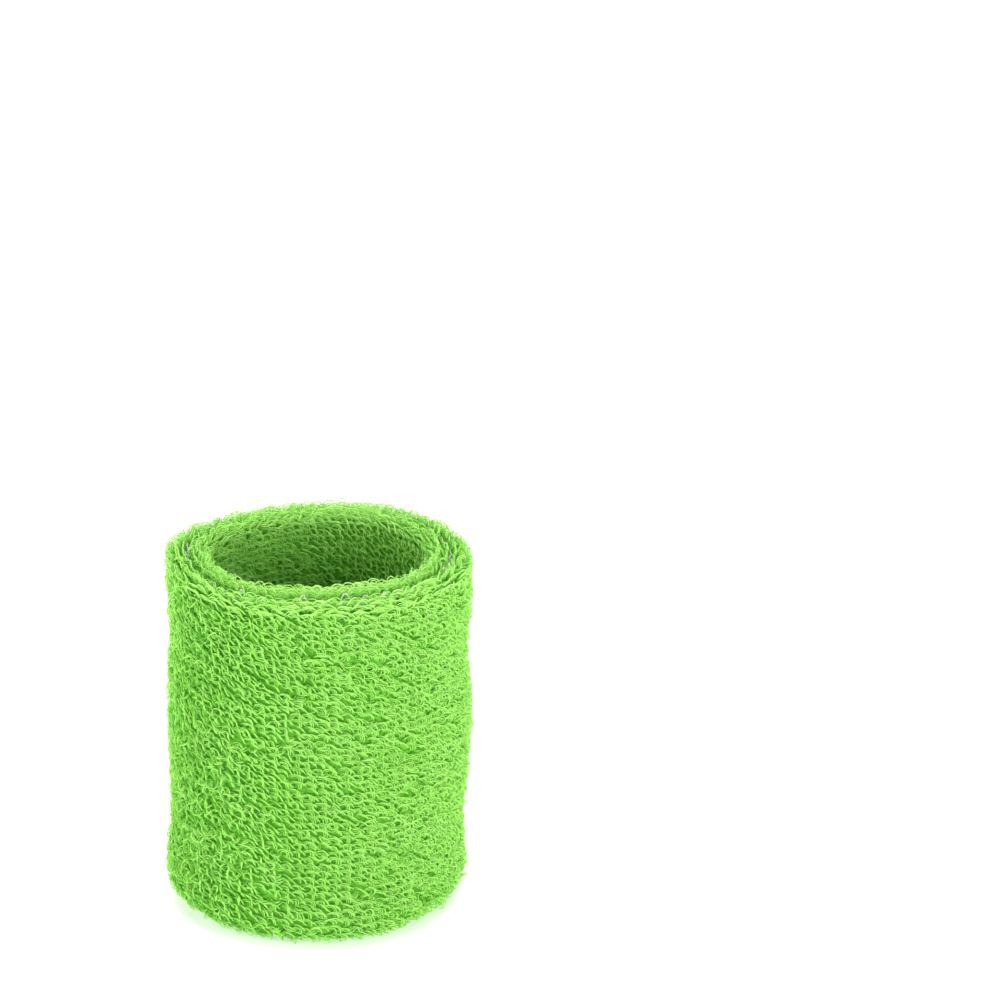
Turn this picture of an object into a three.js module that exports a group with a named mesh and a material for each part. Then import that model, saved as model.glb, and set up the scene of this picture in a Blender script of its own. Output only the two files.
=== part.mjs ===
// Sweat wristband: a circular-knitted terry tube, turned in on itself so that two layers
// lie back to back, folded at the bottom edge and sewn shut at the top edge.
// Millimetres, +Z up, origin on the ground plane at the middle of the opening.

import * as THREE from "three";

// Overall sizes.
const HEIGHT = 75;
const OUTER_RADIUS = 30.5;

// One layer of the wall, from its loop tips inwards.
const PILE_DEPTH = 2.4;
const GROUND_THICKNESS = 0.8;
const ELASTIC_DIAMETER = 0.4;

// Room between neighbouring pieces, and between the two layers of elastic yarn.
const CLEARANCE = 0.25;
const LAYER_GAP = 0.5;

// Top edge: each layer ends in a ridge of loops, with the sewn groove between the ridges.
const CROWN_HEIGHT = 3.2;
const GROOVE_WIDTH = 1.5;
const THREAD_DIAMETER = 0.4;
const STITCH_COUNT = 40;
const THREAD_SINK = 1.6;

// Bottom edge: the fold that joins the layers, and the flat that it stands on.
const FOLD_HEIGHT = 4.5;
const STANDING_FLAT = 2.3;

// Laid-in elastic: a helix in each layer.
const ELASTIC_PITCH = 8;
const ELASTIC_END_ROOM = 1.2;

// Facets.
const RING_SEGMENTS = 48;
const ARC_STEPS = 5;
const HELIX_STEPS_PER_TURN = 32;
const YARN_SIDES = 4;
const STEPS_PER_STITCH = 4;

// Radii worked out from the stack of one layer, outside to inside.
const outerPileBack = OUTER_RADIUS - PILE_DEPTH;
const outerGroundFace = outerPileBack - CLEARANCE;
const outerGroundBack = outerGroundFace - GROUND_THICKNESS;
const outerElasticRadius = outerGroundBack - CLEARANCE - ELASTIC_DIAMETER / 2;
const innerElasticRadius = outerElasticRadius - ELASTIC_DIAMETER - LAYER_GAP;
const innerGroundBack = innerElasticRadius - ELASTIC_DIAMETER / 2 - CLEARANCE;
const innerGroundFace = innerGroundBack - GROUND_THICKNESS;
const innerPileBack = innerGroundFace - CLEARANCE;
const openingRadius = innerPileBack - PILE_DEPTH;
const seamRadius = (outerElasticRadius + innerElasticRadius) / 2;

// Heights worked out from the two edges.
const wallBottom = FOLD_HEIGHT + CLEARANCE;
const groundTop = HEIGHT - CROWN_HEIGHT - CLEARANCE;

const LIME = 0x86d052;
const PALE_LIME = 0xb9dca4;
const ELASTIC_WHITE = 0xdfe6d8;
const THREAD_GREY = 0xc3d2b6;

function material(colour, roughness) {
  return new THREE.MeshStandardMaterial({ color: colour, roughness, metalness: 0 });
}

function namedMesh(name, geometry, colour, roughness) {
  const mesh = new THREE.Mesh(geometry, material(colour, roughness));
  mesh.name = name;
  return mesh;
}

// Turns a closed outline in the (radius, height) plane into a ring about Z.
// The outline runs anticlockwise: outwards along the bottom and up the outer side.
function ring(outline) {
  const points = outline.map(([radius, height]) => new THREE.Vector2(radius, height));
  points.push(points[0].clone());
  const geometry = new THREE.LatheGeometry(points, RING_SEGMENTS);
  geometry.rotateX(Math.PI / 2);
  return geometry;
}

// Points of a quarter or half round, from one angle to another, in the same plane.
function arc(centreRadius, centreHeight, halfWidth, rise, from, to, steps) {
  const points = [];
  for (let step = 0; step <= steps; step += 1) {
    const angle = from + ((to - from) * step) / steps;
    points.push([
      centreRadius + halfWidth * Math.cos(angle),
      centreHeight + rise * Math.sin(angle),
    ]);
  }
  return points;
}

// The loop pile of one layer: a sleeve whose top bends over the end of the ground knit.
// side is +1 for the outer layer and -1 for the inner one.
function pileOutline(side, tipRadius, backRadius) {
  const lipRadius = seamRadius + (side * GROOVE_WIDTH) / 2;
  const crownCentre = (tipRadius + lipRadius) / 2;
  const crownHalfWidth = Math.abs(tipRadius - lipRadius) / 2;
  const crownBase = HEIGHT - CROWN_HEIGHT;
  const crown = arc(
    crownCentre,
    crownBase,
    side * crownHalfWidth,
    CROWN_HEIGHT,
    0,
    Math.PI,
    2 * ARC_STEPS
  );
  const outline = [
    [backRadius, wallBottom],
    [tipRadius, wallBottom],
    ...crown,
    [backRadius, crownBase],
  ];
  return side > 0 ? outline : outline.reverse();
}

function groundOutline(lowRadius, highRadius) {
  return [
    [lowRadius, wallBottom],
    [highRadius, wallBottom],
    [highRadius, groundTop],
    [lowRadius, groundTop],
  ];
}

// The bottom fold: flat on top where the layers meet it, round below, flat where it stands.
function foldOutline() {
  const width = (OUTER_RADIUS - openingRadius - STANDING_FLAT) / 2;
  const rise = Math.min(width, FOLD_HEIGHT);
  const inwards = Math.PI;
  const down = 1.5 * Math.PI;
  const outwards = 2 * Math.PI;
  return [
    ...arc(openingRadius + width, rise, width, rise, inwards, down, ARC_STEPS),
    ...arc(OUTER_RADIUS - width, rise, width, rise, down, outwards, ARC_STEPS),
    [OUTER_RADIUS, FOLD_HEIGHT],
    [openingRadius, FOLD_HEIGHT],
  ];
}

class HelixCurve extends THREE.Curve {
  constructor(radius, bottom, top, turns) {
    super();
    this.radius = radius;
    this.bottom = bottom;
    this.top = top;
    this.turns = turns;
  }

  getPoint(t, target = new THREE.Vector3()) {
    const angle = 2 * Math.PI * this.turns * t;
    return target.set(
      this.radius * Math.cos(angle),
      this.radius * Math.sin(angle),
      this.bottom + (this.top - this.bottom) * t
    );
  }
}

// One lap of lockstitch thread: it swings from lip to lip as it goes round the groove.
class SeamCurve extends THREE.Curve {
  constructor(radius, height, swing, rise, stitches) {
    super();
    this.radius = radius;
    this.height = height;
    this.swing = swing;
    this.rise = rise;
    this.stitches = stitches;
  }

  getPoint(t, target = new THREE.Vector3()) {
    const knotGap = 0.5 / this.stitches;
    const angle = 2 * Math.PI * (knotGap + (1 - 2 * knotGap) * t);
    const phase = this.stitches * angle;
    const radius = this.radius + this.swing * Math.sin(phase);
    return target.set(
      radius * Math.cos(angle),
      radius * Math.sin(angle),
      this.height + this.rise * Math.cos(2 * phase)
    );
  }
}

function yarn(curve, diameter, steps) {
  const section = new THREE.Shape();
  for (let side = 0; side < YARN_SIDES; side += 1) {
    const angle = (2 * Math.PI * side) / YARN_SIDES;
    const x = (diameter / 2) * Math.cos(angle);
    const y = (diameter / 2) * Math.sin(angle);
    if (side === 0) {
      section.moveTo(x, y);
    } else {
      section.lineTo(x, y);
    }
  }
  section.closePath();
  return new THREE.ExtrudeGeometry(section, { steps, extrudePath: curve, bevelEnabled: false });
}

function elasticYarn(radius) {
  const bottom = wallBottom + ELASTIC_END_ROOM;
  const top = groundTop - ELASTIC_END_ROOM;
  const turns = Math.max(1, Math.round((top - bottom) / ELASTIC_PITCH));
  const curve = new HelixCurve(radius, bottom, top, turns);
  return yarn(curve, ELASTIC_DIAMETER, turns * HELIX_STEPS_PER_TURN);
}

function seamThread() {
  const swing = (GROOVE_WIDTH - THREAD_DIAMETER) / 2 - CLEARANCE;
  const height = HEIGHT - THREAD_SINK;
  const curve = new SeamCurve(seamRadius, height, swing, THREAD_DIAMETER / 2, STITCH_COUNT);
  return yarn(curve, THREAD_DIAMETER, STITCH_COUNT * STEPS_PER_STITCH);
}

const wristband = new THREE.Group();
wristband.add(
  namedMesh(
    "outer_loop_pile",
    ring(pileOutline(1, OUTER_RADIUS, outerPileBack)),
    LIME,
    0.95
  ),
  namedMesh(
    "outer_ground_knit",
    ring(groundOutline(outerGroundBack, outerGroundFace)),
    PALE_LIME,
    0.9
  ),
  namedMesh("outer_elastic_yarn", elasticYarn(outerElasticRadius), ELASTIC_WHITE, 0.6),
  namedMesh("inner_elastic_yarn", elasticYarn(innerElasticRadius), ELASTIC_WHITE, 0.6),
  namedMesh(
    "inner_ground_knit",
    ring(groundOutline(innerGroundFace, innerGroundBack)),
    PALE_LIME,
    0.9
  ),
  namedMesh(
    "inner_loop_pile",
    ring(pileOutline(-1, openingRadius, innerPileBack)),
    LIME,
    0.95
  ),
  namedMesh("bottom_turned_edge", ring(foldOutline()), LIME, 0.95),
  namedMesh("closing_seam_thread", seamThread(), THREAD_GREY, 0.7)
);

export default wristband;
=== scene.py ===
"""A lime terry sweat wristband, standing on its turned edge.

The band is knitted as one long tube with terry loops all over one side, folded into itself
at the bottom and sewn shut in the groove of its top edge. Every loop is real yarn here: the
stitches are laid out course by course over both layers, and one node tree bends a few
strands out of each. Metres, in the frame of the CAD model.
"""

import math
import random

import bpy
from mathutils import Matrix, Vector, noise


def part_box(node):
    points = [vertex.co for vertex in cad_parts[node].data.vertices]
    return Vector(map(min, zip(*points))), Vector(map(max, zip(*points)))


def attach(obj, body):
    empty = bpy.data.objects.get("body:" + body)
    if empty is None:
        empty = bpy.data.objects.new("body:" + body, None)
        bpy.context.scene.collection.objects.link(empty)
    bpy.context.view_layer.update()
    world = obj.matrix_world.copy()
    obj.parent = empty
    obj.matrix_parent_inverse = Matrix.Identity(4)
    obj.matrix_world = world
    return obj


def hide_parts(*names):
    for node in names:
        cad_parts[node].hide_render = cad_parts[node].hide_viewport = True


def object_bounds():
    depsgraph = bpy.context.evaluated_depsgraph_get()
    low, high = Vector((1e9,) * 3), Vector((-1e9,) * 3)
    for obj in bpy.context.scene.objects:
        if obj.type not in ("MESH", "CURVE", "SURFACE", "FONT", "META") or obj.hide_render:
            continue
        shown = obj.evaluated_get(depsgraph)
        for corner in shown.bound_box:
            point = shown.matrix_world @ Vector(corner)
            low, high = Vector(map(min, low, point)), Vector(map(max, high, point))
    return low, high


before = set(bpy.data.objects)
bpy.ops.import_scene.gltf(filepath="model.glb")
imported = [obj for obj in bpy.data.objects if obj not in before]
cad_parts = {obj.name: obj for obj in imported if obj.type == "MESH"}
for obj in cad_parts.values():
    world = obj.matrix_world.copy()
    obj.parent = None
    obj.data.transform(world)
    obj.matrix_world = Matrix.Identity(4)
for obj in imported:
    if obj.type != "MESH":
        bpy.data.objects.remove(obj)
cad_low, cad_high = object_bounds()

MM = 0.001

# The knitting: stitches round, height of a row, thickness of the ground knit with its
# elastic, and of the knitted skin alone.
WALES = 80
COURSE = 1.44 * MM
GROUND = 0.8 * MM
SKIN = 0.6 * MM

# The two layers and the edges that join them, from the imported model. BASE is how far the
# ground knit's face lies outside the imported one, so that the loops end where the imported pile
# does. Sides are 1 for the outer layer and -1 for the inner one.
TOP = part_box("outer_loop_pile")[1].z
BASE = 1.1 * MM
OUTER_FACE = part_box("outer_ground_knit")[1].x + BASE
INNER_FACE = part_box("inner_ground_knit")[1].x - GROUND - BASE
FOLD_RADIUS = (OUTER_FACE + INNER_FACE) / 2
FOLD_BEND = (OUTER_FACE - INNER_FACE) / 2
FOLD_LIFT = 1.5 * MM
TOP_BEND = {1: 2.1 * MM, -1: 2.3 * MM}
TOP_BEND_END = math.radians(100)
RIDGE = 3.4 * MM
GROOVE_DEPTH = 1.4 * MM
SEAM_STITCHES = 40
THREAD_RADIUS = 0.16 * MM

# A loop: its length from root to tip, how far it curls over (radians) and its width, on the
# wall, on the ridges and under the fold. RIDGE_BENDS are where the rows of ridge loops are
# rooted, in degrees round the top bend. LEAN is the way a loop falls, in degrees to the right
# of straight up, TURN_WITH_LEAN how much its feet turn with it, and ROLL how far its right leg
# stands out, in radians, more by ROLL_SWAY on the right-hand side of the band. The shares are
# of loops that stand up loose and that have fallen the other way.
LOOP_REACH = 2.35 * MM
LOOP_CURL = 1.95
RIDGE_REACH = 3.0 * MM
RIDGE_CURL = 0.15
RIDGE_BENDS = (8, 27, 46, 66)
FOLD_REACH = 2.0 * MM
FOLD_CURL = 2.5
LOOP_GAPE = {1: 2.15 * MM, -1: 2.0 * MM}
LOOSE_SHARE = 0.04
FALLEN_SHARE = 0.15
LEAN = 27
TURN_WITH_LEAN = 0.55
ROLL = 0.43
ROLL_SWAY = 0.08

# The camera and where the band stands in its view.
VIEW_DISTANCE = 0.52
VIEW_ELEVATION = math.radians(22)
BAND_LEFT_OF_VIEW = 0.0372
BAND_BELOW_VIEW = 0.0437
LENS = 91.5


def add(tree, kind, sockets=(), output=0, **settings):
    """One more node: its settings, and what goes into its sockets by place or by name."""
    made = tree.nodes.new(kind)
    for name, value in settings.items():
        setattr(made, name, value)
    pairs = sockets.items() if isinstance(sockets, dict) else enumerate(sockets)
    for key, value in pairs:
        if isinstance(value, bpy.types.NodeSocket):
            tree.links.new(value, made.inputs[key])
        elif value is not None:
            made.inputs[key].default_value = value
    return made.outputs[output] if len(made.outputs) else made


def linear(hex_colour):
    """An sRGB hex colour as the linear colour that a shader wants."""
    channels = [int(hex_colour[i : i + 2], 16) / 255 for i in (1, 3, 5)]
    return [c / 12.92 if c <= 0.04045 else ((c + 0.055) / 1.055) ** 2.4 for c in channels] + [1.0]


# ---------------------------------------------------------------------------
# Shape of the soft wall


def bump(value, middle, width):
    """1 at the middle, falling smoothly to nothing either side."""
    return math.exp(-(((value - middle) / width) ** 2))


def turn_from(angle, other):
    """Signed angle from other to angle, the short way round."""
    return math.remainder(angle - other, math.tau)


def wall_shift(angle, height):
    """How far the whole wall leans out of the round at a place, in metres."""
    up = height / TOP
    # Slow waves all round, then the dents.
    shift = 0.35 * math.sin(3 * angle + 0.6) + 0.22 * math.sin(5 * angle + 2.1 - 1.5 * up)
    shift += 0.25 * math.sin(2 * angle - 0.4 + 2.0 * up)
    for place, width, level, spread, amount in DENTS:
        turned = turn_from(angle, math.radians(place))
        shift += amount * bump(turned, 0, math.radians(width)) * bump(up, level, spread)
    return shift * MM


# Place round the band and width (degrees), level and spread (shares of the height), depth (mm).
# The front is at -90 degrees and the right-hand side at 0.
DENTS = (
    (-96, 7, 0.55, 0.6, -0.55),
    (-124, 9, 0.2, 0.5, 0.5),
    (0, 50, 0.95, 0.08, -0.4),
    (0, 50, 0.7, 0.1, -0.9),
    (0, 50, 0.49, 0.08, 0.4),
    (0, 50, 0.2, 0.1, -0.9),
    (180, 50, 0.75, 0.12, -0.7),
    (180, 50, 0.2, 0.12, -0.4),
    (200, 40, 0.1, 0.1, 1.2),
    (-58, 25, 0.02, 0.08, 0.8),
)


def edge_rise(angle, height, side):
    """Neither edge is quite level: the top dips at the front, and the foot lifts on the left."""
    up = height / TOP
    top = -0.6 - 0.6 * math.cos(angle + math.pi / 2) + 0.3 * math.sin(4 * angle + 0.5)
    top += 1.2 * bump(turn_from(angle, math.radians(58)), 0, 0.4)
    top -= 0.9 * bump(turn_from(angle, math.radians(125)), 0, 0.6)
    top -= 0.8 * bump(turn_from(angle, 0), 0, 0.5)
    if side > 0:
        top -= 1.5 * bump(turn_from(angle, math.radians(-90)), 0, 1.1)
    foot = 1.3 * bump(turn_from(angle, math.radians(195)), 0, 0.6)
    return (top * up**3 + foot * (1 - up) ** 6) * MM


def layer_length(side):
    """From the middle of the fold up one layer to the end of its top bend."""
    bends = FOLD_BEND * math.pi / 2 + TOP_BEND[side] * TOP_BEND_END
    return bends + wall_top(side) - wall_foot()


def wall_foot():
    return FOLD_LIFT + FOLD_BEND


def wall_top(side):
    return TOP - RIDGE - TOP_BEND[side]


def layer_point(side, along):
    """(radius, height, tilt) on the ground knit, from the middle of the fold up one layer.

    side is 1 for the outer layer and -1 for the inner one; tilt is the way the loops
    stand, from -90 degrees, down, through 0, straight out of the wall, to 90, up.
    """
    face = FOLD_RADIUS + side * FOLD_BEND
    fold = FOLD_BEND * math.pi / 2
    straight = wall_top(side) - wall_foot()
    if along < fold:
        tilt = along / FOLD_BEND - math.pi / 2
        return (
            FOLD_RADIUS + side * FOLD_BEND * math.cos(tilt),
            wall_foot() + FOLD_BEND * math.sin(tilt),
            tilt,
        )
    if along < fold + straight:
        return face, wall_foot() + along - fold, 0.0
    tilt = min((along - fold - straight) / TOP_BEND[side], TOP_BEND_END)
    return (
        face - side * TOP_BEND[side] * (1 - math.cos(tilt)),
        wall_top(side) + TOP_BEND[side] * math.sin(tilt),
        tilt,
    )


def wall_place(side, along, angle, depth=0.0):
    """A point on the ground knit, or depth under its face, and the ways out, up and round."""
    radius, height, tilt = layer_point(side, along)
    radial = Vector((math.cos(angle), math.sin(angle), 0))
    rise = Vector((0, 0, 1))
    out = side * radial * math.cos(tilt) + rise * math.sin(tilt)
    up = -side * radial * math.sin(tilt) + rise * math.cos(tilt)
    around = Vector((-math.sin(angle), math.cos(angle), 0))
    height += edge_rise(angle, height, side)
    place = radial * (radius + wall_shift(angle, height)) + rise * height
    return place - out * depth, out, up, around


# ---------------------------------------------------------------------------
# Geometry Nodes: yarn loops


def loop_tree():
    """Bends yarn loops out of stitch points, a few strands to a loop, one inside the other."""
    tree = bpy.data.node_groups.new("terry loops", "GeometryNodeTree")
    interface = tree.interface
    interface.new_socket("Stitches", in_out="INPUT", socket_type="NodeSocketGeometry")
    for name, kind, value in (
        ("Strands", "NodeSocketInt", 3),
        ("Strand Step", "NodeSocketFloat", 0.45 * MM),
        ("Nesting", "NodeSocketFloat", 0.2),
        ("Strand Diameter", "NodeSocketFloat", 0.2 * MM),
        ("Bends", "NodeSocketInt", 9),
        ("Sides", "NodeSocketInt", 3),
        ("Unevenness", "NodeSocketFloat", 1.0),
        ("Wander", "NodeSocketFloat", 0.12 * MM),
        ("Seed", "NodeSocketInt", 1),
    ):
        interface.new_socket(name, in_out="INPUT", socket_type=kind).default_value = value
    interface.new_socket("Yarn", in_out="INPUT", socket_type="NodeSocketMaterial")
    interface.new_socket("Loops", in_out="OUTPUT", socket_type="NodeSocketGeometry")
    given = tree.nodes.new("NodeGroupInput").outputs

    def maths(operation, *values):
        return add(tree, "ShaderNodeMath", values, operation=operation)

    def vectors(operation, *values):
        return add(tree, "ShaderNodeVectorMath", values, operation=operation)

    def times(direction, length):
        return add(
            tree,
            "ShaderNodeVectorMath",
            {"Vector": direction, "Scale": length},
            operation="SCALE",
        )

    def noted(name, kind="FLOAT"):
        return add(tree, "GeometryNodeInputNamedAttribute", {"Name": name}, data_type=kind)

    # One point for each strand, which remembers its number in the loop and where it is rooted.
    points = add(tree, "GeometryNodeMeshToPoints", {"Mesh": given["Stitches"]})
    copies = add(
        tree,
        "GeometryNodeDuplicateElements",
        {"Geometry": points, "Amount": given["Strands"]},
        domain="POINT",
    ).node
    points = add(
        tree,
        "GeometryNodeStoreNamedAttribute",
        {"Geometry": copies.outputs[0], "Name": "strand", "Value": copies.outputs[1]},
        data_type="FLOAT",
        domain="POINT",
    )
    points = add(
        tree,
        "GeometryNodeStoreNamedAttribute",
        {"Geometry": points, "Name": "root", "Value": add(tree, "GeometryNodeInputPosition")},
        data_type="FLOAT_VECTOR",
        domain="POINT",
    )
    tone = add(
        tree,
        "FunctionNodeRandomValue",
        {2: 0.0, 3: 1.0, "Seed": given["Seed"]},
        output=1,
        data_type="FLOAT",
    )
    points = add(
        tree,
        "GeometryNodeStoreNamedAttribute",
        {"Geometry": points, "Name": "tone", "Value": tone},
        data_type="FLOAT",
        domain="POINT",
    )
    chance = add(
        tree,
        "FunctionNodeRandomValue",
        {0: (-1, -1, -1), 1: (1, 1, 1), "Seed": maths("ADD", given["Seed"], 1000)},
        data_type="FLOAT_VECTOR",
    )
    points = add(
        tree,
        "GeometryNodeStoreNamedAttribute",
        {"Geometry": points, "Name": "chance", "Value": times(chance, given["Unevenness"])},
        data_type="FLOAT_VECTOR",
        domain="POINT",
    )
    # One line for each strand, which is bent into a loop below.
    line = add(tree, "GeometryNodeCurvePrimitiveLine", {"End": (0, 0, MM)}, mode="POINTS")
    line = add(
        tree,
        "GeometryNodeResampleCurve",
        {"Curve": line, "Count": maths("ADD", given["Bends"], 1)},
        mode="COUNT",
    )
    strands = add(tree, "GeometryNodeInstanceOnPoints", {"Points": points, "Instance": line})
    strands = add(tree, "GeometryNodeRealizeInstances", [strands])

    # Run goes from 0 at one foot to pi at the other, and swing from 0 up to 1 at the tip and back.
    run = maths("MULTIPLY", add(tree, "GeometryNodeSplineParameter"), math.pi)
    swing = maths("POWER", maths("MAXIMUM", maths("SINE", run), 0.0), 0.75)
    uneven = add(
        tree, "ShaderNodeSeparateXYZ", [noted("chance", "FLOAT_VECTOR")]
    ).node.outputs
    # The loop stands out of the wall and curls over on an arc, inner strands shorter.
    reach = maths(
        "SUBTRACT", noted("reach"), maths("MULTIPLY", noted("strand"), given["Strand Step"])
    )
    reach = maths("MULTIPLY", reach, maths("ADD", 1.0, maths("MULTIPLY", uneven[0], 0.1)))
    curl = maths("MAXIMUM", noted("curl"), 0.05)
    bend = maths("MULTIPLY", curl, swing)
    radius = maths("DIVIDE", reach, curl)
    outwards = maths("MULTIPLY", radius, maths("SINE", bend))
    along = maths("MULTIPLY", radius, maths("SUBTRACT", 1.0, maths("COSINE", bend)))
    out = noted("out", "FLOAT_VECTOR")
    lay = noted("lay", "FLOAT_VECTOR")
    across = noted("across", "FLOAT_VECTOR")
    spine = vectors(
        "ADD",
        times(out, maths("COSINE", bend)),
        times(lay, maths("SINE", bend)),
    )
    # Its two legs stand apart, turned about the arc by the twist.
    twist = maths("ADD", noted("twist"), maths("MULTIPLY", uneven[2], 0.25))
    sideways = add(
        tree,
        "ShaderNodeVectorRotate",
        {"Vector": across, "Axis": spine, "Angle": maths("MULTIPLY", twist, swing)},
        rotation_type="AXIS_ANGLE",
    )
    gape = maths(
        "MULTIPLY",
        maths("MULTIPLY", noted("gape"), maths("COSINE", run)),
        maths("ADD", 0.5, maths("MULTIPLY", swing, 0.35)),
    )
    gape = maths("MULTIPLY", gape, maths("ADD", 1.0, maths("MULTIPLY", uneven[1], 0.12)))
    nested = maths("SUBTRACT", 1.0, maths("MULTIPLY", noted("strand"), given["Nesting"]))
    gape = maths("MULTIPLY", gape, nested)
    spot = vectors("ADD", noted("root", "FLOAT_VECTOR"), times(out, outwards))
    spot = vectors("ADD", spot, times(lay, along))
    spot = vectors("ADD", spot, times(sideways, gape))
    # The yarn wanders a little, more towards the tip.
    curls = add(
        tree,
        "ShaderNodeTexNoise",
        {
            "Vector": spot,
            "W": maths("ADD", maths("MULTIPLY", noted("strand"), 3.7), given["Seed"]),
            "Scale": 620.0,
            "Detail": 1.0,
        },
        output="Color",
        noise_dimensions="4D",
    )
    curls = vectors("SUBTRACT", curls, (0.5, 0.5, 0.5))
    curls = times(curls, maths("MULTIPLY", given["Wander"], maths("MULTIPLY", swing, 4.0)))
    strands = add(
        tree,
        "GeometryNodeSetPosition",
        {"Geometry": strands, "Position": vectors("ADD", spot, curls)},
    )
    # Tip runs from 0 at the feet to 1 at the tip of each loop; the yarn material paints shade at
    # the roots from it.
    strands = add(
        tree,
        "GeometryNodeStoreNamedAttribute",
        {"Geometry": strands, "Name": "tip", "Value": swing},
        data_type="FLOAT",
        domain="POINT",
    )
    section = add(
        tree,
        "GeometryNodeCurvePrimitiveCircle",
        {"Resolution": given["Sides"], "Radius": maths("MULTIPLY", given["Strand Diameter"], 0.5)},
        mode="RADIUS",
    )
    yarn = add(
        tree,
        "GeometryNodeCurveToMesh",
        {"Curve": strands, "Profile Curve": section, "Fill Caps": True},
    )
    yarn = add(tree, "GeometryNodeRealizeInstances", [yarn])
    yarn = add(tree, "GeometryNodeSetShadeSmooth", [yarn])
    yarn = add(tree, "GeometryNodeSetMaterial", {"Geometry": yarn, "Material": given["Yarn"]})
    tree.links.new(yarn, tree.nodes.new("NodeGroupOutput").inputs[0])
    return tree


def points_mesh(name, stitches):
    """A mesh of bare points, one for each stitch, that carry what the loop tree reads."""
    mesh = bpy.data.meshes.new(name)
    mesh.from_pydata([s["root"] for s in stitches], [], [])
    for key in ("out", "lay", "across"):
        attribute = mesh.attributes.new(key, "FLOAT_VECTOR", "POINT")
        attribute.data.foreach_set("vector", [x for s in stitches for x in s[key]])
    for key in ("reach", "curl", "gape", "twist"):
        attribute = mesh.attributes.new(key, "FLOAT", "POINT")
        attribute.data.foreach_set("value", [s[key] for s in stitches])
    return mesh


def grow(name, mesh, tree, material, **inputs):
    """Runs the tree over the points and keeps the result as a plain mesh object."""
    seedling = bpy.data.objects.new(name + "_points", mesh)
    bpy.context.scene.collection.objects.link(seedling)
    modifier = seedling.modifiers.new("loops", "NODES")
    modifier.node_group = tree
    sockets = {item.name: item.identifier for item in tree.interface.items_tree}
    for key, value in inputs.items():
        modifier[sockets[key.replace("_", " ").title()]] = value
    modifier[sockets["Yarn"]] = material
    whole = bpy.data.meshes.new_from_object(
        seedling.evaluated_get(bpy.context.evaluated_depsgraph_get())
    )
    bpy.data.objects.remove(seedling)
    whole.name = name
    piece = bpy.data.objects.new(name, whole)
    bpy.context.scene.collection.objects.link(piece)
    return piece


def flyaways(seed, count):
    """Points for the thin stray filaments that have worked loose from the pile.

    The last is a long one, pulled out of the top edge at the back on the left.
    """
    chance = random.Random(seed)
    strays = []
    for _ in range(count):
        side = chance.choice((1, 1, -1))
        along = layer_length(side) * (1 - 0.88 * chance.random() ** 1.5)
        angle = chance.uniform(0, math.tau)
        root, out, up, around = wall_place(side, along, angle)
        turned = chance.uniform(0, math.tau)
        lay = up * math.cos(turned) + around * math.sin(turned)
        strays.append(
            {
                "root": root,
                "out": out,
                "lay": lay,
                "across": out.cross(lay),
                "reach": chance.uniform(2.2, 3.6) * MM,
                "curl": chance.uniform(0.8, 2.4),
                "gape": chance.uniform(0.8, 4.0) * MM,
                "twist": chance.uniform(-1.5, 1.5),
            }
        )
    root, out, up, around = wall_place(1, layer_length(1), math.radians(113))
    pulled = {"root": root, "out": out, "lay": up, "across": around}
    strays.append(pulled | {"reach": 5.6 * MM, "curl": 0.5, "gape": 0.7 * MM, "twist": 0.6})
    return strays


# ---------------------------------------------------------------------------
# Materials


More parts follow.
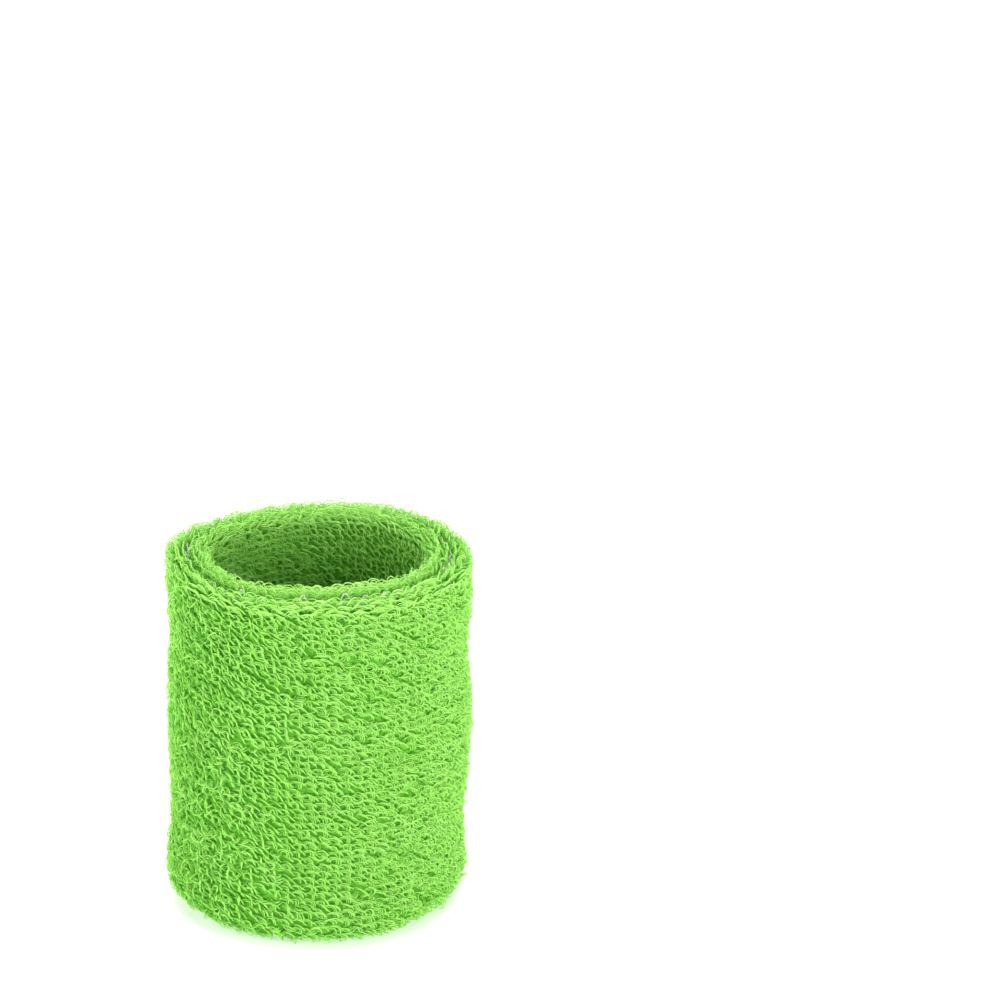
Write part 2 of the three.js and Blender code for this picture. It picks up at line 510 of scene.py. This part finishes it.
def yarn_material(name, painted_shade, dark, light, painted_backlight, roughness, sheen):
    """Dyed textured polyester yarn, spun bulky and dull.

    Every loop takes the dye a little differently. Shade is painted into the colour: the roots
    are painted a deep green for the shade they sit in, and so are the sides of each strand that
    turn away from the view. Light coming through the thin pile along the top edge is painted
    too, as a paler, yellower colour towards the top. The crimped fibres break up the highlight
    along each strand.
    """
    material = bpy.data.materials.new(name)
    material.use_nodes = True
    tree = material.node_tree
    shader = tree.nodes["Principled BSDF"]
    place = add(tree, "ShaderNodeTexCoord", output="Object")
    tone = add(tree, "ShaderNodeAttribute", attribute_name="tone", output="Fac")
    patch = add(tree, "ShaderNodeTexNoise", {"Vector": place, "Scale": 90.0, "Detail": 2.0})
    mixed = add(tree, "ShaderNodeMath", [tone, patch], operation="ADD")
    mixed = add(tree, "ShaderNodeMath", [mixed, 0.5], operation="MULTIPLY")
    colour = add(
        tree,
        "ShaderNodeMix",
        {0: mixed, 6: linear(dark), 7: linear(light)},
        output=2,
        data_type="RGBA",
    )
    # Painted shade: towards the roots of each loop the colour turns to the painted shade green.
    tip = add(tree, "ShaderNodeAttribute", attribute_name="tip", output="Fac")
    shown = add(
        tree,
        "ShaderNodeMapRange",
        {"Value": tip, "From Min": 0.3, "From Max": 0.95},
        interpolation_type="SMOOTHSTEP",
    )
    colour = add(
        tree,
        "ShaderNodeMix",
        {0: shown, 6: linear(painted_shade), 7: colour},
        output=2,
        data_type="RGBA",
    )
    # Painted light: over the top 8 mm the colour is pulled half way towards a paler, yellower
    # green, standing in for light coming through the thin pile.
    height = add(tree, "ShaderNodeSeparateXYZ", [place], output="Z")
    thin = add(
        tree,
        "ShaderNodeMapRange",
        {"Value": height, "From Min": TOP - 8 * MM, "From Max": TOP, "To Max": 0.5},
    )
    colour = add(
        tree,
        "ShaderNodeMix",
        {0: thin, 6: colour, 7: linear(painted_backlight)},
        output=2,
        data_type="RGBA",
    )
    # Painted shade: the sides of each strand that turn away from the view are painted darker,
    # towards the painted shade green.
    edge_shade = add(tree, "ShaderNodeLayerWeight", {"Blend": 0.45}, output="Facing")
    edge_shade = add(tree, "ShaderNodeMath", [edge_shade, 0.6], operation="MULTIPLY")
    colour = add(
        tree,
        "ShaderNodeMix",
        {0: edge_shade, 6: colour, 7: linear(painted_shade)},
        output=2,
        data_type="RGBA",
    )
    fibres = add(tree, "ShaderNodeTexNoise", {"Vector": place, "Scale": 7000.0, "Detail": 1.0})
    normal = add(
        tree,
        "ShaderNodeBump",
        {"Height": fibres, "Strength": 0.4, "Distance": 0.00006},
    )
    tree.links.new(colour, shader.inputs["Base Color"])
    tree.links.new(normal, shader.inputs["Normal"])
    shader.inputs["Roughness"].default_value = roughness
    shader.inputs["Sheen Weight"].default_value = sheen
    shader.inputs["Sheen Roughness"].default_value = 0.5
    shader.inputs["Sheen Tint"].default_value = linear("#D8FFB0")
    shader.inputs["Specular IOR Level"].default_value = 0.3
    return material


def knit_material():
    """Plain knitted backing of fine dyed nylon: rows of small V stitches, smoother than the
    loops, with the wales standing out as soft cords. Its colour is painted darker than the
    loops, as the shade under the pile, and darker still in the hollows between stitches."""
    material = bpy.data.materials.new("lime nylon ground knit")
    material.use_nodes = True
    tree = material.node_tree
    shader = tree.nodes["Principled BSDF"]
    place = add(tree, "ShaderNodeTexCoord", output="Object")

    def maths(operation, *values):
        return add(tree, "ShaderNodeMath", values, operation=operation)

    stitches = add(tree, "ShaderNodeUVMap", uv_map="stitches")
    parts = add(tree, "ShaderNodeSeparateXYZ", [stitches]).node.outputs
    wale = maths("PINGPONG", parts[0], 0.5)
    course = maths("ADD", parts[1], maths("MULTIPLY", wale, 1.6))
    strand = maths("PINGPONG", course, 0.5)
    height = maths("MULTIPLY", strand, maths("ADD", 0.4, maths("MULTIPLY", wale, 2.4)))
    patch = add(tree, "ShaderNodeTexNoise", {"Vector": place, "Scale": 400.0, "Detail": 3.0})
    # Painted shade: the colour runs from a dark green in the hollows between stitches to a lighter
    # one on the cords, both darker than the loops as shade under the pile; the noise patches are
    # uneven dye.
    shade = maths("ADD", height, maths("MULTIPLY", patch, 0.5))
    colour = add(
        tree,
        "ShaderNodeMix",
        {0: shade, 6: linear("#56A22A"), 7: linear("#7CCA3E")},
        output=2,
        data_type="RGBA",
    )
    normal = add(
        tree,
        "ShaderNodeBump",
        {"Height": height, "Strength": 0.8, "Distance": 0.0003},
    )
    tree.links.new(colour, shader.inputs["Base Color"])
    tree.links.new(normal, shader.inputs["Normal"])
    shader.inputs["Roughness"].default_value = 0.75
    shader.inputs["Specular IOR Level"].default_value = 0.3
    return material


def wrapped_material(name, dark, light, pitch, roughness):
    """Thread or covered elastic: fine ply wound round and round, so that narrow ridges with
    shaded seams between them run across it, in a slightly uneven pale colour."""
    material = bpy.data.materials.new(name)
    material.use_nodes = True
    tree = material.node_tree
    shader = tree.nodes["Principled BSDF"]
    place = add(tree, "ShaderNodeTexCoord", output="Object")
    ply = add(
        tree,
        "ShaderNodeTexWave",
        {"Vector": place, "Scale": 0.31 / pitch, "Distortion": 1.5, "Detail": 1.0},
        output="Fac",
        bands_direction="DIAGONAL",
    )
    patch = add(tree, "ShaderNodeTexNoise", {"Vector": place, "Scale": 900.0, "Detail": 2.0})
    shade = add(tree, "ShaderNodeMath", [ply, patch], operation="MULTIPLY")
    shade = add(tree, "ShaderNodeMath", [shade, 1.6], operation="MULTIPLY", use_clamp=True)
    colour = add(
        tree,
        "ShaderNodeMix",
        {0: shade, 6: linear(dark), 7: linear(light)},
        output=2,
        data_type="RGBA",
    )
    normal = add(tree, "ShaderNodeBump", {"Height": ply, "Strength": 0.6, "Distance": 0.00008})
    tree.links.new(colour, shader.inputs["Base Color"])
    tree.links.new(normal, shader.inputs["Normal"])
    shader.inputs["Roughness"].default_value = roughness
    shader.inputs["Specular IOR Level"].default_value = 0.4
    return material


# ---------------------------------------------------------------------------
# Stitches


def disorder(angle, height):
    """How ruffled the pile is at a place, from 0.4, well combed, to 1.4."""
    spot = Vector((math.cos(angle) * 1.6, math.sin(angle) * 1.6, height * 25))
    left = bump(turn_from(angle, math.radians(-150)), 0, 0.7)
    return 0.8 + 0.7 * noise.noise(spot) + 0.6 * left


def stitch(side, along, angle, chance):
    """One terry loop: where it is rooted, which way it falls, its length and its twist."""
    root, out, up, around = wall_place(side, along, angle)
    _, height, tilt = layer_point(side, along)
    ruffle = disorder(angle, height)
    spot = Vector((math.cos(angle) * 2.2, math.sin(angle) * 2.2, height * 70))
    lean = math.radians(LEAN + ruffle * (10 * noise.noise(spot) + chance.gauss(0, 7)))
    if chance.random() < FALLEN_SHARE * ruffle:
        lean += math.pi + math.radians(chance.gauss(0, 20))
    upright = min(1.0, max(0.0, tilt) * 1.5)
    if upright > 0.4:
        lean = chance.gauss(0, 0.4)
    lay = up * math.cos(lean) + side * around * math.sin(lean)
    level = out.cross(lay)
    turned = 1 if level.dot(around) > 0 else -1
    across = (around * turned).lerp(level, TURN_WITH_LEAN).normalized()
    curl = LOOP_CURL * (1 - upright) + RIDGE_CURL * upright + chance.gauss(0, 0.15)
    if chance.random() < LOOSE_SHARE:
        curl *= 0.5
    reach = LOOP_REACH * (1 - upright) + RIDGE_REACH * upright + chance.gauss(0, 0.2) * MM
    if tilt < -0.5:
        curl, reach = FOLD_CURL, FOLD_REACH
    roll = ROLL + ROLL_SWAY * math.cos(angle) + ruffle * chance.gauss(0, 0.15)
    roll = roll * (1 - upright) + upright * chance.gauss(0, 0.35)
    return {
        "root": root,
        "out": out,
        "lay": lay,
        "across": across,
        "reach": reach,
        "curl": curl,
        "gape": LOOP_GAPE[side] * (1 + chance.gauss(0, 0.1)),
        "twist": side * turned * roll,
    }


def courses(side, seed):
    """Stitches of one layer, course by course, from the fold to the top edge."""
    chance = random.Random(seed)
    bend_start = layer_length(side) - TOP_BEND[side] * TOP_BEND_END
    count = round(bend_start / COURSE)
    levels = [(course + 0.5) * bend_start / count for course in range(count)]
    levels += [bend_start + TOP_BEND[side] * math.radians(a) for a in RIDGE_BENDS]
    rows = []
    for along in levels:
        row = []
        drift = chance.uniform(-0.12, 0.12)
        for wale in range(WALES):
            angle = math.tau * (wale + drift + 0.5) / WALES
            short = stitch(side, along + COURSE / 2, angle, chance)
            short["reach"] *= 0.75
            short["curl"] *= 0.6
            row.append(short)
        for wale in range(WALES):
            angle = math.tau * (wale + drift + 0.09 * chance.gauss(0, 1)) / WALES
            slip = along + 0.1 * COURSE * chance.gauss(0, 1)
            row.append(stitch(side, max(0.0, slip), angle, chance))
        rows.append(row)
    return rows


tree = loop_tree()
# Colours: painted shade for the roots and strand sides, two dye tones, and painted light for the
# top edge.
terry = yarn_material("lime textured yarn", "#74CC30", "#A0EC56", "#C6FA92", "#C4F888", 0.8, 0.05)
pieces = []

outer = courses(1, 11)
inner = courses(-1, 12)
crown = len(RIDGE_BENDS)
# A piece holds a few courses together, so that none has too many triangles.
for layer, rows, together, strands, bends in (
    ("outer", outer[:-crown], 8, 3, 8),
    ("inner", inner[:-crown], 16, 2, 5),
):
    for first in range(0, len(rows), together):
        name = f"{layer}_loops_{first // together + 1}"
        mesh = points_mesh(name, [s for row in rows[first : first + together] for s in row])
        pieces.append(grow(name, mesh, tree, terry, strands=strands, seed=first, bends=bends))
for layer, rows in (("outer", outer[-crown:]), ("inner", inner[-crown:])):
    name = layer + "_ridge_loops"
    mesh = points_mesh(name, [s for row in rows for s in row])
    pieces.append(grow(name, mesh, tree, terry, seed=71))

stray_mesh = points_mesh("stray_filaments", flyaways(31, 450))
pieces.insert(
    1,
    grow(
        "stray_filaments",
        stray_mesh,
        tree,
        terry,
        strands=1,
        seed=5,
        bends=14,
        strand_diameter=0.11 * MM,
        wander=0.5 * MM,
    ),
)


def ground_shell():
    """The knitted backing: one thin ring, folded at its foot and sewn shut in the groove."""
    steps_round, steps_up, steps_groove = 120, 48, 4
    stations = [(-1, layer_length(-1) * (1 - i / steps_up)) for i in range(steps_up + 1)]
    stations += [(1, layer_length(1) * i / steps_up) for i in range(1, steps_up + 1)]
    stations += [(0, i / steps_groove) for i in range(1, steps_groove)]
    verts, faces = [], []
    for depth in (0.0, SKIN):
        for side, along in stations:
            for turn in range(steps_round):
                angle = math.tau * turn / steps_round
                if side:
                    verts.append(wall_place(side, along, angle, depth)[0])
                    continue
                start = wall_place(1, layer_length(1), angle, depth)[0]
                end = wall_place(-1, layer_length(-1), angle, depth)[0]
                sag = Vector((0, 0, GROOVE_DEPTH * math.sin(math.pi * along)))
                verts.append(start.lerp(end, along) - sag)
    rings = len(stations)

    def index(layer, ring, turn):
        return (layer * rings + ring % rings) * steps_round + turn % steps_round

    for ring in range(rings):
        for turn in range(steps_round):
            a, b = index(0, ring, turn), index(0, ring, turn + 1)
            c, d = index(0, ring + 1, turn + 1), index(0, ring + 1, turn)
            faces.append((a, b, c, d))
            a, b = index(1, ring, turn), index(1, ring, turn + 1)
            c, d = index(1, ring + 1, turn + 1), index(1, ring + 1, turn)
            faces.append((d, c, b, a))
    mesh = bpy.data.meshes.new("ground_knit")
    mesh.from_pydata(verts, [], faces)
    stitch_map = mesh.uv_layers.new(name="stitches")
    for polygon in mesh.polygons:
        polygon.use_smooth = True
        ring, turn = divmod(polygon.index // 2, steps_round)
        corners = ((turn, ring), (turn + 1, ring), (turn + 1, ring + 1), (turn, ring + 1))
        if polygon.index % 2:
            corners = corners[::-1]
        for loop, (across, along) in zip(polygon.loop_indices, corners):
            wale = across * WALES / steps_round
            course = along * layer_length(1) / steps_up / COURSE
            stitch_map.data[loop].uv = (wale, course)
    piece = bpy.data.objects.new("ground_knit", mesh)
    bpy.context.scene.collection.objects.link(piece)
    return piece


def seam_thread():
    """The overlock thread that closes the band, hopping over the groove from layer to layer."""
    chance = random.Random(21)
    path = bpy.data.curves.new("seam_thread", "CURVE")
    path.dimensions = "3D"
    path.bevel_depth = THREAD_RADIUS
    path.bevel_resolution = 1
    spline = path.splines.new("POLY")
    steps = 10
    spline.points.add(SEAM_STITCHES * steps - 1)
    lift = 0.0
    for i, point in enumerate(spline.points):
        if i % steps == 0:
            lift = chance.uniform(-0.7, 0.9) * MM
        angle = math.tau * i / (SEAM_STITCHES * steps)
        outer_end = wall_place(1, layer_length(1), angle)[0]
        inner_end = wall_place(-1, layer_length(-1), angle)[0]
        swing = math.sin(math.tau * i / steps)
        spot = outer_end.lerp(inner_end, 0.5 + 0.8 * swing)
        spot.z += 0.3 * MM + lift * abs(swing)
        point.co = (*spot, 1)
    spline.use_cyclic_u = True
    curve = bpy.data.objects.new("seam_curve", path)
    bpy.context.scene.collection.objects.link(curve)
    whole = bpy.data.meshes.new_from_object(
        curve.evaluated_get(bpy.context.evaluated_depsgraph_get())
    )
    bpy.data.objects.remove(curve)
    piece = bpy.data.objects.new("seam_thread", whole)
    bpy.context.scene.collection.objects.link(piece)
    return piece


knit = knit_material()
ground = ground_shell()
ground.data.materials.append(knit)
thread = wrapped_material("pale polyester overlock thread", "#BDB9B4", "#E2DFDC", 0.5 * MM, 0.45)
seam = seam_thread()
seam.data.materials.clear()
seam.data.materials.append(thread)
elastic = wrapped_material("nylon-covered elastic yarn", "#A9CF86", "#D9EBC4", 0.4 * MM, 0.5)
for name in ("outer_elastic_yarn", "inner_elastic_yarn"):
    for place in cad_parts[name].material_slots:
        place.material = elastic


def studio():
    """White sweep, soft overhead and side light, and the camera."""
    scene = bpy.context.scene
    scene.view_settings.view_transform = "Standard"
    world = bpy.data.worlds.new("white room")
    scene.world = world
    world.use_nodes = True
    sky = world.node_tree
    sky.nodes["Background"].inputs["Color"].default_value = (1, 1, 1, 1)
    way = add(sky, "ShaderNodeTexCoord", output="Generated")
    rise = add(sky, "ShaderNodeSeparateXYZ", [way], output="Z")
    level = add(
        sky,
        "ShaderNodeMapRange",
        {"Value": rise, "From Min": 0.05, "From Max": 0.5, "To Min": 2.55, "To Max": 0.02},
        interpolation_type="SMOOTHSTEP",
    )
    sky.links.new(level, sky.nodes["Background"].inputs["Strength"])

    bpy.ops.mesh.primitive_plane_add(size=6)
    floor = bpy.context.object
    floor.name = "floor"
    paper = bpy.data.materials.new("white paper")
    paper.use_nodes = True
    for socket, value in (
        ("Base Color", (0.9, 0.9, 0.9, 1)),
        ("Roughness", 0.9),
        ("Emission Color", (1, 1, 1, 1)),
        ("Emission Strength", 0.4),
    ):
        paper.node_tree.nodes["Principled BSDF"].inputs[socket].default_value = value
    floor.data.materials.append(paper)

    for name, place, spread, power in (
        ("key", (0.9, -0.8, 0.4), 30, 1.35),
        ("fill", (-0.9, -0.6, 0.22), 80, 2.0),
        ("back", (0.0, 1.0, 0.35), 40, 2.4),
        ("top", (0.0, 0.1, 1.0), 40, 2.4),
    ):
        lamp = bpy.data.lights.new(name, "SUN")
        lamp.angle = math.radians(spread)
        lamp.energy = power
        light = bpy.data.objects.new(name, lamp)
        scene.collection.objects.link(light)
        light.location = place
        light.rotation_euler = (-Vector(place)).to_track_quat("-Z", "Y").to_euler()

    lens = bpy.data.cameras.new("camera")
    lens.lens = LENS
    camera = bpy.data.objects.new("camera", lens)
    scene.collection.objects.link(camera)
    middle = (cad_low + cad_high) / 2
    back = Vector((0, -math.cos(VIEW_ELEVATION), math.sin(VIEW_ELEVATION)))
    camera.location = middle + back * VIEW_DISTANCE
    straight = Vector((0, 0, -1))
    aside = Vector((-BAND_LEFT_OF_VIEW, -BAND_BELOW_VIEW, -VIEW_DISTANCE))
    aim = (-back).to_track_quat("-Z", "Y") @ aside.rotation_difference(straight)
    camera.rotation_euler = aim.to_euler()
    lens.clip_start = 0.01
    lens.clip_end = 20
    scene.camera = camera


studio()

for piece in pieces + [ground, seam]:
    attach(piece, "root")
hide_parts("outer_ground_knit", "inner_ground_knit")
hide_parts("closing_seam_thread")
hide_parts("outer_loop_pile", "bottom_turned_edge")
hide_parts("inner_loop_pile")
